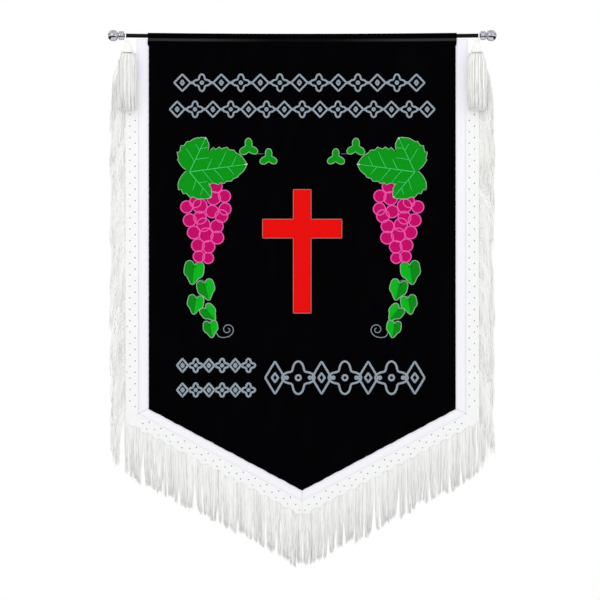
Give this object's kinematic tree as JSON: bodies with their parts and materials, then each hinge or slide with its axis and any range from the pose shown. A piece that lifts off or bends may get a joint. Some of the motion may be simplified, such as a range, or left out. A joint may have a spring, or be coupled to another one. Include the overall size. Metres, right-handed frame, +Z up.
{
  "type": "church banner on a hanging rod",
  "caption": "Pointed black velvet church banner with white satin border, openwork braid, long fringe and side tassels, hung from a slim rod with ball finials.",
  "frame": {"origin": "midway between the two finials, on their common axis, which is the axis of the hanging rod", "axes": "+Z up, along the banner's height; the front of the banner faces -Y; +X is to the right of someone who faces the front"},
  "size_m": [0.762, 0.036, 1.0566],
  "materials": {
    "black_paint": "gloss",
    "chrome": "polished",
    "black_velvet": "matte cut pile",
    "white_satin": "soft sheen",
    "white_braid": "openwork braid",
    "white_thread": "soft rayon strands",
    "red_cloth": "satin",
    "green_stitching": "satin stitch with a silky sheen",
    "magenta_stitching": "satin stitch with a silky sheen",
    "silver_stitching": "satin stitch with a metallic sheen"
  },
  "bodies": {
    "root": {"rod": "black_paint", "finial_left": "chrome", "finial_right": "chrome", "field": "black_velvet", "border_left": "white_satin", "border_right": "white_satin", "border_point_left": "white_satin", "border_point_right": "white_satin", "braid_left": "white_braid", "braid_right": "white_braid", "braid_point_left": "white_braid", "braid_point_right": "white_braid", "fringe_left": "white_thread", "fringe_right": "white_thread", "fringe_point_left": "white_thread", "fringe_point_right": "white_thread", "tassel_loop_left": "white_thread", "tassel_loop_right": "white_thread", "tassel_head_left": "white_thread", "tassel_head_right": "white_thread", "tassel_skirt_left": "white_thread", "tassel_skirt_right": "white_thread", "cross": "red_cloth"}
  },
  "joints": []
}
